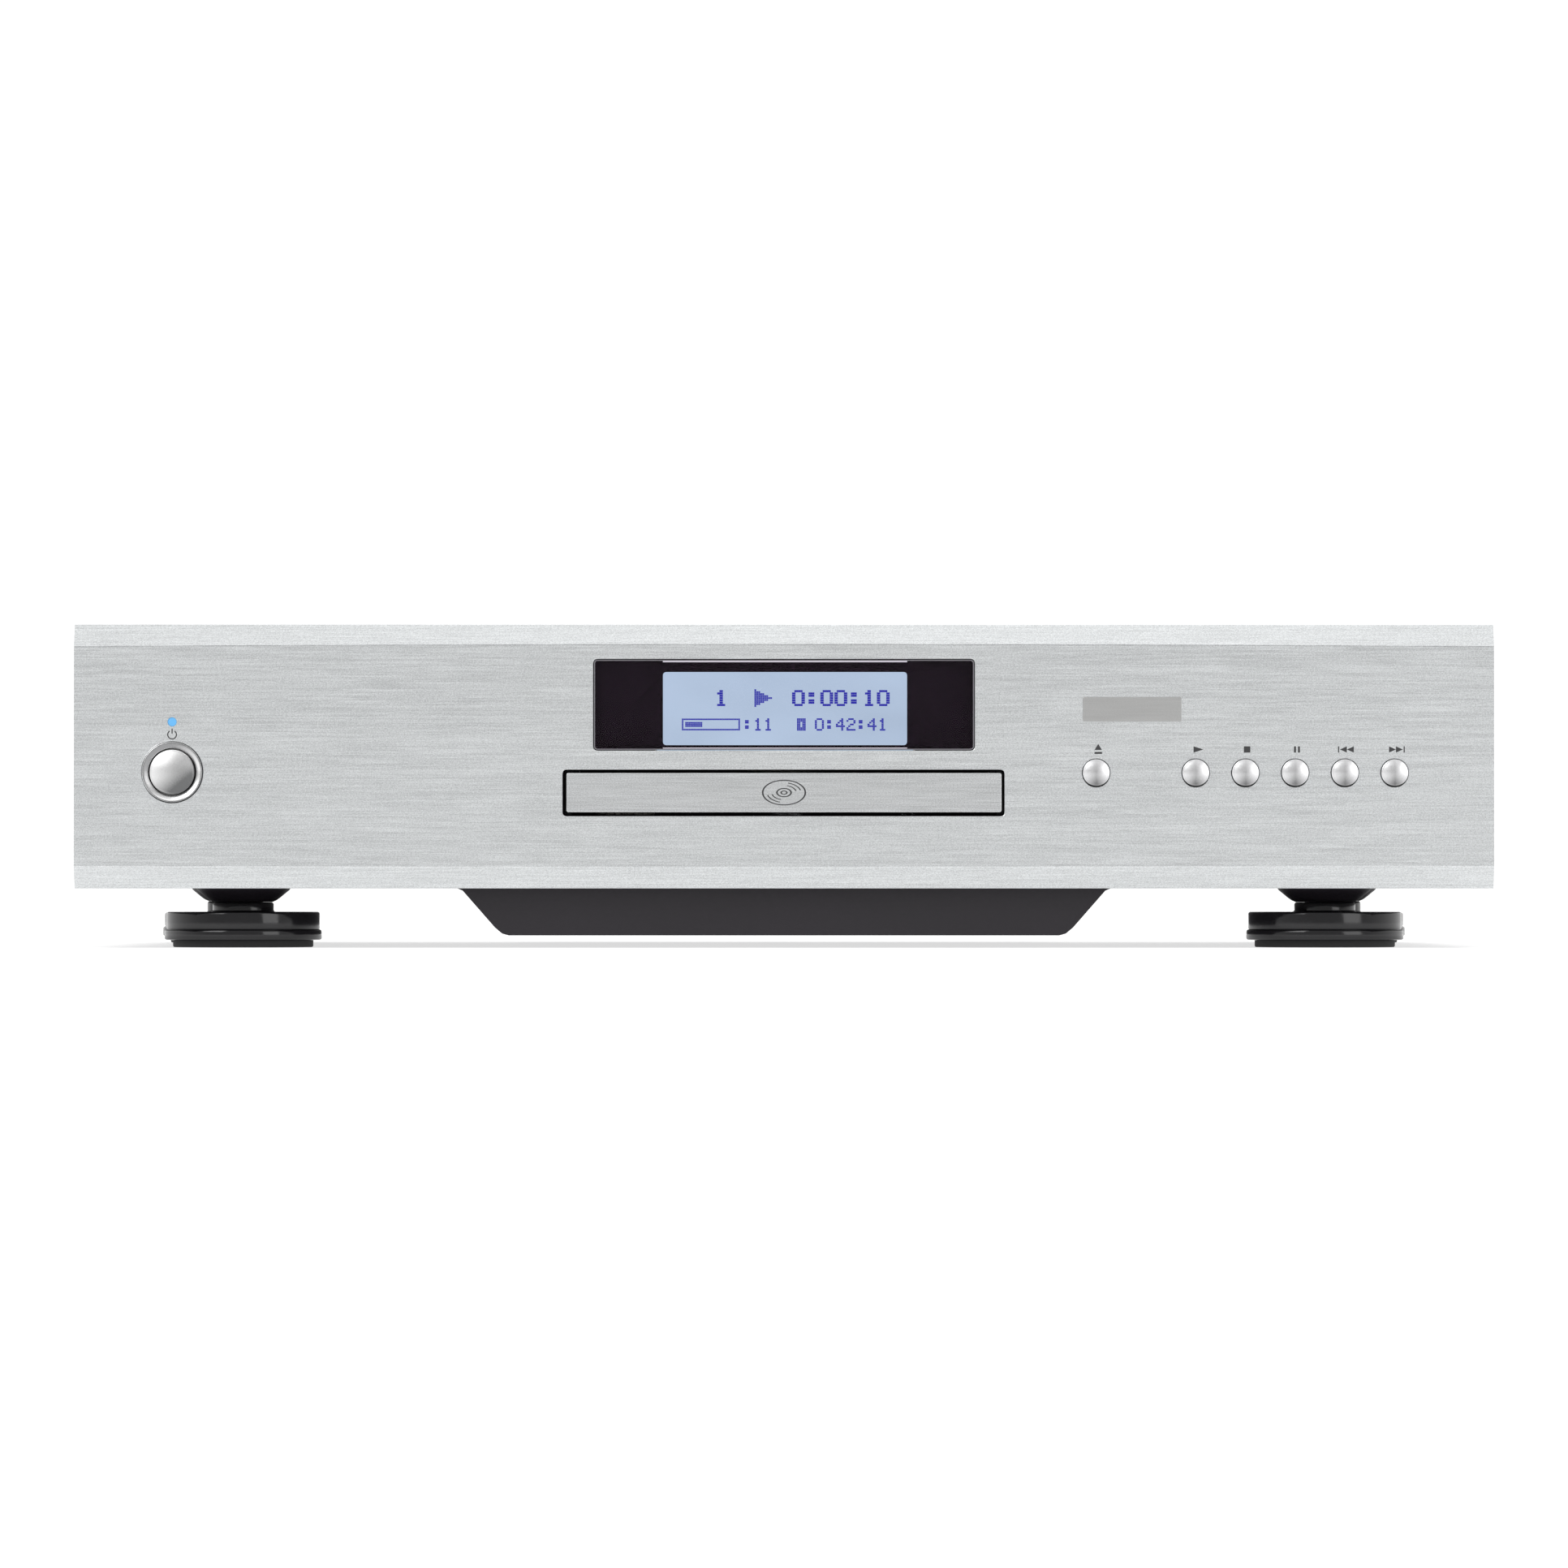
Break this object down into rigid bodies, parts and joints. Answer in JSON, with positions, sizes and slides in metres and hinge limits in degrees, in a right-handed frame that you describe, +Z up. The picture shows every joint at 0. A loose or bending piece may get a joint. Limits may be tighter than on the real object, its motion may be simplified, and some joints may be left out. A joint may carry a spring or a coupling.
{
  "type": "cd player",
  "caption": "Slim hi-fi disc player with a brushed metal front, a motorised disc tray, a smoked display window, round push buttons and round feet.",
  "frame": {"origin": "on the surface that the feet stand on, under the middle of the player's width and depth", "axes": "+X to the right seen from the front, the front panel faces -Y, +Z up"},
  "size_m": [0.43, 0.314, 0.098],
  "materials": {
    "front_aluminium": "fine horizontal brushing under clear anodising",
    "badge_metal": "satin, slightly darker than the panel",
    "button_aluminium": "satin turned caps with polished edges",
    "black_plastic": "fine moulded grain",
    "tray_plastic": "fine moulded grain",
    "window_smoke": "smoked acrylic, polished",
    "display_glass": "pale blue backlit display glass",
    "status_light": "light blue lens, lit",
    "circuit_board": "green solder mask",
    "case_black": "fine textured powder coat",
    "foot_black": "glossy moulded",
    "pad_rubber": "matt",
    "mechanism_grey": "moulded",
    "white_plastic": "acetal, slightly waxy",
    "plated_steel": "zinc plated sheet",
    "bare_aluminium": "extruded, mill finish",
    "polished_steel": "polished",
    "lens_glass": "coated, polished",
    "gold_plate": "gold plated",
    "belt_rubber": "matt",
    "laminations": "varnished steel sheets",
    "winding_copper": "enamelled wire under clear tape",
    "capacitor_sleeve": "shrink sleeve"
  },
  "bodies": {
    "case": {"front_panel": "front_aluminium", "badge_plate": "badge_metal", "power_ring": "button_aluminium", "front_frame": "black_plastic", "power_switch": "black_plastic", "power_inlet": "black_plastic", "display_window": "window_smoke", "lcd_screen": "display_glass", "display_board": "white_plastic", "status_led": "status_light", "button_board": "circuit_board", "main_board": "circuit_board", "power_board": "circuit_board", "bottom_pan": "case_black", "top_cover": "case_black", "rear_panel": "case_black", "loader_frame": "mechanism_grey", "clamp_bridge": "plated_steel", "heatsink": "bare_aluminium", "loading_motor": "polished_steel", "loading_belt": "belt_rubber", "transformer_core": "laminations", "transformer_winding": "winding_copper", "capacitor_left": "capacitor_sleeve", "capacitor_right": "capacitor_sleeve", "left_output_jack": "gold_plate", "right_output_jack": "gold_plate", "digital_output_jack": "gold_plate", "foot_front_left": "foot_black", "foot_pad_front_left": "pad_rubber", "foot_front_right": "foot_black", "foot_pad_front_right": "pad_rubber", "foot_rear_left": "foot_black", "foot_pad_rear_left": "pad_rubber", "foot_rear_right": "foot_black", "foot_pad_rear_right": "pad_rubber"},
    "tray": {"tray": "tray_plastic", "tray_door": "front_aluminium"},
    "power_button": {"power_button": "button_aluminium"},
    "eject_button": {"eject_button": "button_aluminium"},
    "play_button": {"play_button": "button_aluminium"},
    "stop_button": {"stop_button": "button_aluminium"},
    "pause_button": {"pause_button": "button_aluminium"},
    "previous_button": {"previous_button": "button_aluminium"},
    "next_button": {"next_button": "button_aluminium"},
    "traverse": {"traverse": "mechanism_grey", "spindle_motor": "polished_steel", "guide_rod_left": "polished_steel", "guide_rod_right": "polished_steel", "sled_motor": "polished_steel"},
    "spindle_hub": {"spindle_hub": "black_plastic"},
    "clamp_puck": {"clamp_puck": "white_plastic"},
    "pickup_sled": {"pickup_sled": "mechanism_grey"},
    "pickup_lens": {"pickup_lens": "lens_glass"},
    "sled_gear": {"sled_gear": "white_plastic"},
    "cam_slider": {"cam_slider": "white_plastic"},
    "tray_gear": {"tray_gear": "white_plastic"},
    "drive_pulley": {"drive_pulley": "white_plastic"},
    "motor_pulley": {"motor_pulley": "gold_plate"}
  },
  "joints": [
    {"name": "tray_slide", "type": "slide", "parent": "case", "child": "tray", "axis": [0, -1, 0], "range_m": [0, 0.136]},
    {"name": "tray_gear_turn", "type": "hinge", "parent": "case", "child": "tray_gear", "pos_m": [-0.0487, -0.124, 0.042], "axis": [0, 0, 1], "range_deg": [0, 855]},
    {"name": "drive_pulley_turn", "type": "hinge", "parent": "case", "child": "drive_pulley", "pos_m": [-0.0294, -0.124, 0.038], "axis": [0, 0, 1], "range_deg": [-2345, 0]},
    {"name": "motor_pulley_turn", "type": "hinge", "parent": "case", "child": "motor_pulley", "pos_m": [0.01, -0.124, 0.0347], "axis": [0, 0, 1], "range_deg": [-8940, 0]},
    {"name": "power_button_press", "type": "slide", "parent": "case", "child": "power_button", "axis": [0, 1, 0], "range_m": [0, 0.003], "stiffness_N_per_m": 400},
    {"name": "eject_button_press", "type": "slide", "parent": "case", "child": "eject_button", "axis": [0, 1, 0], "range_m": [0, 0.0008], "stiffness_N_per_m": 1200},
    {"name": "play_button_press", "type": "slide", "parent": "case", "child": "play_button", "axis": [0, 1, 0], "range_m": [0, 0.0008], "stiffness_N_per_m": 1200},
    {"name": "stop_button_press", "type": "slide", "parent": "case", "child": "stop_button", "axis": [0, 1, 0], "range_m": [0, 0.0008], "stiffness_N_per_m": 1200},
    {"name": "pause_button_press", "type": "slide", "parent": "case", "child": "pause_button", "axis": [0, 1, 0], "range_m": [0, 0.0008], "stiffness_N_per_m": 1200},
    {"name": "previous_button_press", "type": "slide", "parent": "case", "child": "previous_button", "axis": [0, 1, 0], "range_m": [0, 0.0008], "stiffness_N_per_m": 1200},
    {"name": "next_button_press", "type": "slide", "parent": "case", "child": "next_button", "axis": [0, 1, 0], "range_m": [0, 0.0008], "stiffness_N_per_m": 1200},
    {"name": "traverse_tilt", "type": "hinge", "parent": "case", "child": "traverse", "pos_m": [0, 0.026, 0.0285], "axis": [1, 0, 0], "range_deg": [0, 4.85]},
    {"name": "cam_slide", "type": "slide", "parent": "case", "child": "cam_slider", "axis": [1, 0, 0], "range_m": [0, 0.022]},
    {"name": "spindle_turn", "type": "hinge", "parent": "traverse", "child": "spindle_hub", "pos_m": [0, -0.082, 0.049], "axis": [0, 0, 1], "continuous": true},
    {"name": "clamp_puck_turn", "type": "hinge", "parent": "case", "child": "clamp_puck", "pos_m": [0, -0.082, 0.057], "axis": [0, 0, 1], "continuous": true},
    {"name": "sled_slide", "type": "slide", "parent": "traverse", "child": "pickup_sled", "axis": [0, 1, 0], "range_m": [0, 0.036]},
    {"name": "sled_gear_turn", "type": "hinge", "parent": "traverse", "child": "sled_gear", "pos_m": [0.0386, -0.03, 0.0345], "axis": [0, 0, 1], "range_deg": [-290, 0]},
    {"name": "lens_focus", "type": "slide", "parent": "pickup_sled", "child": "pickup_lens", "axis": [0, 0, 1], "range_m": [-0.0006, 0.0006], "stiffness_N_per_m": 30}
  ],
  "couplings": [
    {"joint": "tray_gear_turn", "follows": "tray_slide", "rad_per_m": 109.29},
    {"joint": "drive_pulley_turn", "follows": "tray_slide", "rad_per_m": -300.28},
    {"joint": "motor_pulley_turn", "follows": "tray_slide", "rad_per_m": -1144.8},
    {"joint": "cam_slide", "follows": "traverse_tilt", "m_per_rad": 0.2591},
    {"joint": "clamp_puck_turn", "follows": "spindle_turn", "ratio": 1},
    {"joint": "sled_gear_turn", "follows": "sled_slide", "rad_per_m": -139.86}
  ]
}
